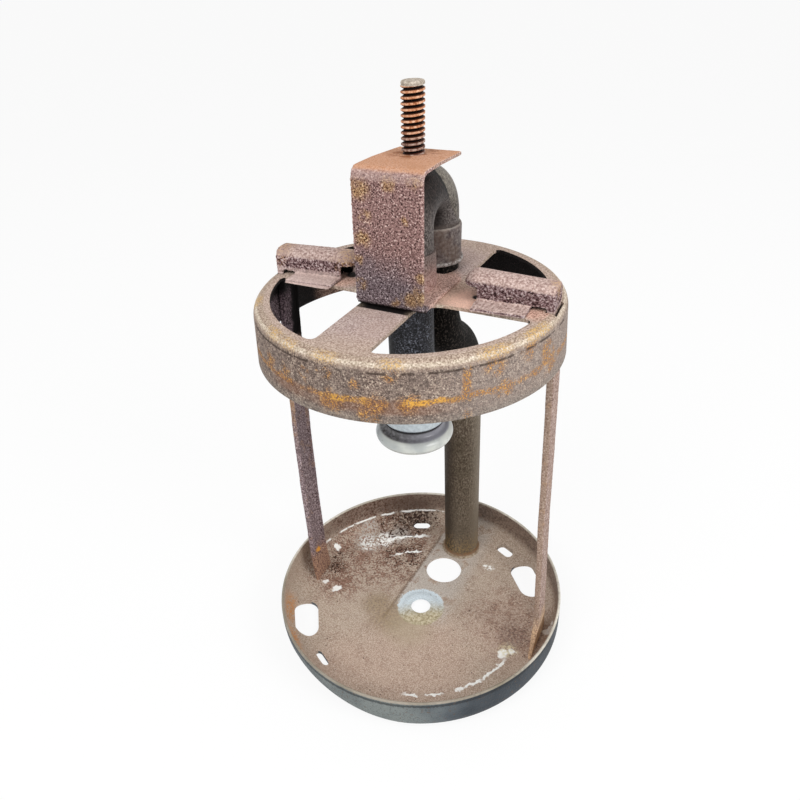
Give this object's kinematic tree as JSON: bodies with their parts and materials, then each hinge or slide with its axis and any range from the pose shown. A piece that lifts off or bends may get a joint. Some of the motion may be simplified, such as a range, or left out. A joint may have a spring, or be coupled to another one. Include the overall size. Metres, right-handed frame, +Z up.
{
  "type": "pressure lantern burner frame",
  "caption": "Rusted open burner frame of a mantle lantern: round pan, two channel uprights, pierced top ring, bracket with threaded stud, bent gas tube and ceramic mantle nozzle.",
  "frame": {"origin": "on the axis of the pan, at the level that its underside stands on", "axes": "+Z up along the axis of pan, nozzle and ring; +X to the right upright; +Y to the mixing tube at the back"},
  "size_m": [0.105, 0.105, 0.1911],
  "materials": {
    "pan_steel": "matte",
    "strap_steel": "matte",
    "ring_steel": "matte",
    "stud_steel": "matte",
    "tube_metal": "satin",
    "collar_metal": "satin",
    "braze_brass": "matte",
    "nozzle_ceramic": "gloss",
    "gauze_steel": "matte"
  },
  "bodies": {
    "frame": {"base_pan": "pan_steel", "left_upright": "strap_steel", "right_upright": "strap_steel", "top_ring": "ring_steel", "stud_bracket": "strap_steel", "hood_stud": "stud_steel", "return_bend": "tube_metal", "joint_collar": "collar_metal", "burner_tube": "tube_metal", "mixing_tube": "tube_metal", "tube_braze": "braze_brass"},
    "nozzle": {"burner_nozzle": "nozzle_ceramic", "burner_gauze": "gauze_steel", "gauze_ring": "gauze_steel"}
  },
  "joints": [
    {"name": "nozzle_pull", "type": "slide", "parent": "frame", "child": "nozzle", "axis": [0, 0, -1], "range_m": [0, 0.014]}
  ]
}
